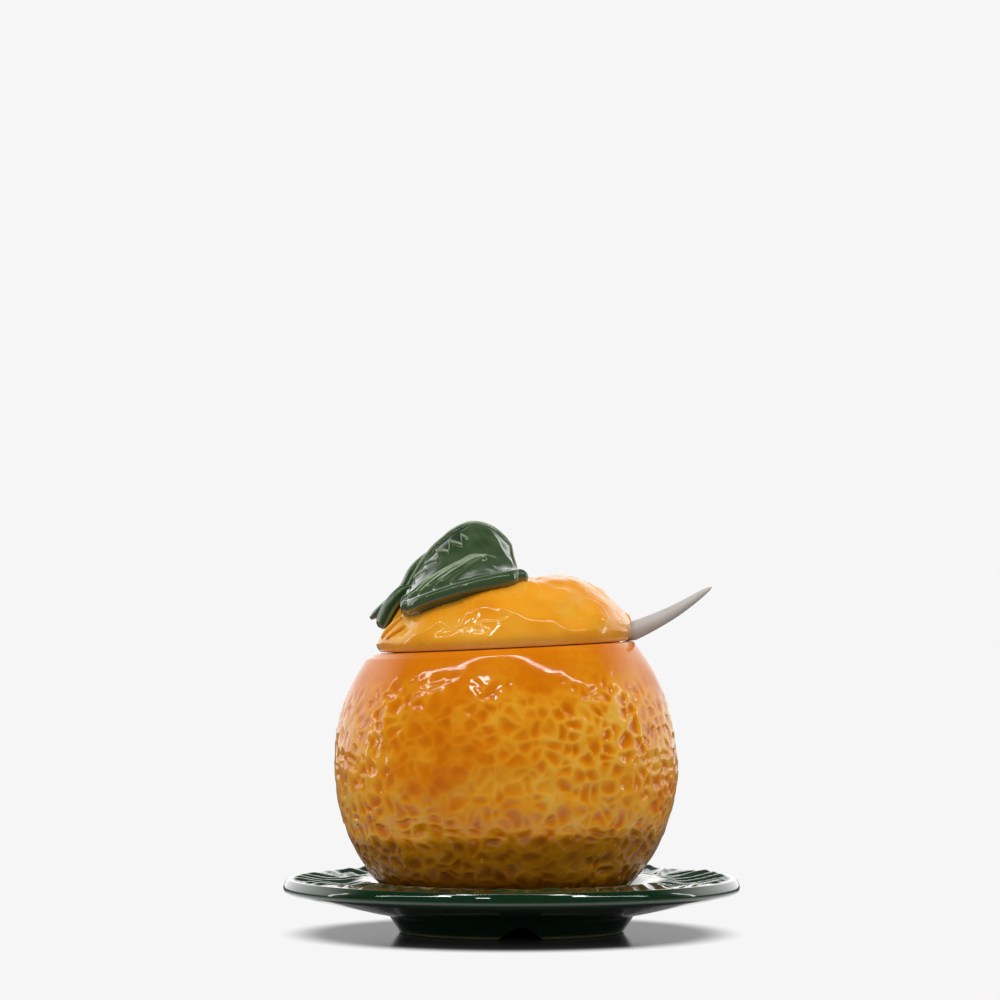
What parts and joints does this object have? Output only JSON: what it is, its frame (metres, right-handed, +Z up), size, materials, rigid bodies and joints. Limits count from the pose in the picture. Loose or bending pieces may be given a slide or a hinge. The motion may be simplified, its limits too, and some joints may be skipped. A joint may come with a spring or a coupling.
{
  "type": "orange-shaped ceramic pot",
  "caption": "lidded ceramic pot shaped as an orange, with a green leaf as the lid's grip, a white spoon through the notched lid and a green leaf-relief saucer",
  "frame": {"origin": "on the table under the middle of the saucer", "axes": "+Z up, +X towards the side where the spoon leaves the lid, the leaf droops towards -X, -Y is the front"},
  "size_m": [0.145, 0.145, 0.1303],
  "materials": {
    "green_glaze": "gloss",
    "orange_glaze": "gloss",
    "orange_glaze_lid": "gloss",
    "white_glaze": "gloss"
  },
  "bodies": {
    "root": {"saucer": "green_glaze", "pot": "orange_glaze", "lid": "orange_glaze_lid", "spoon": "white_glaze"}
  },
  "joints": []
}
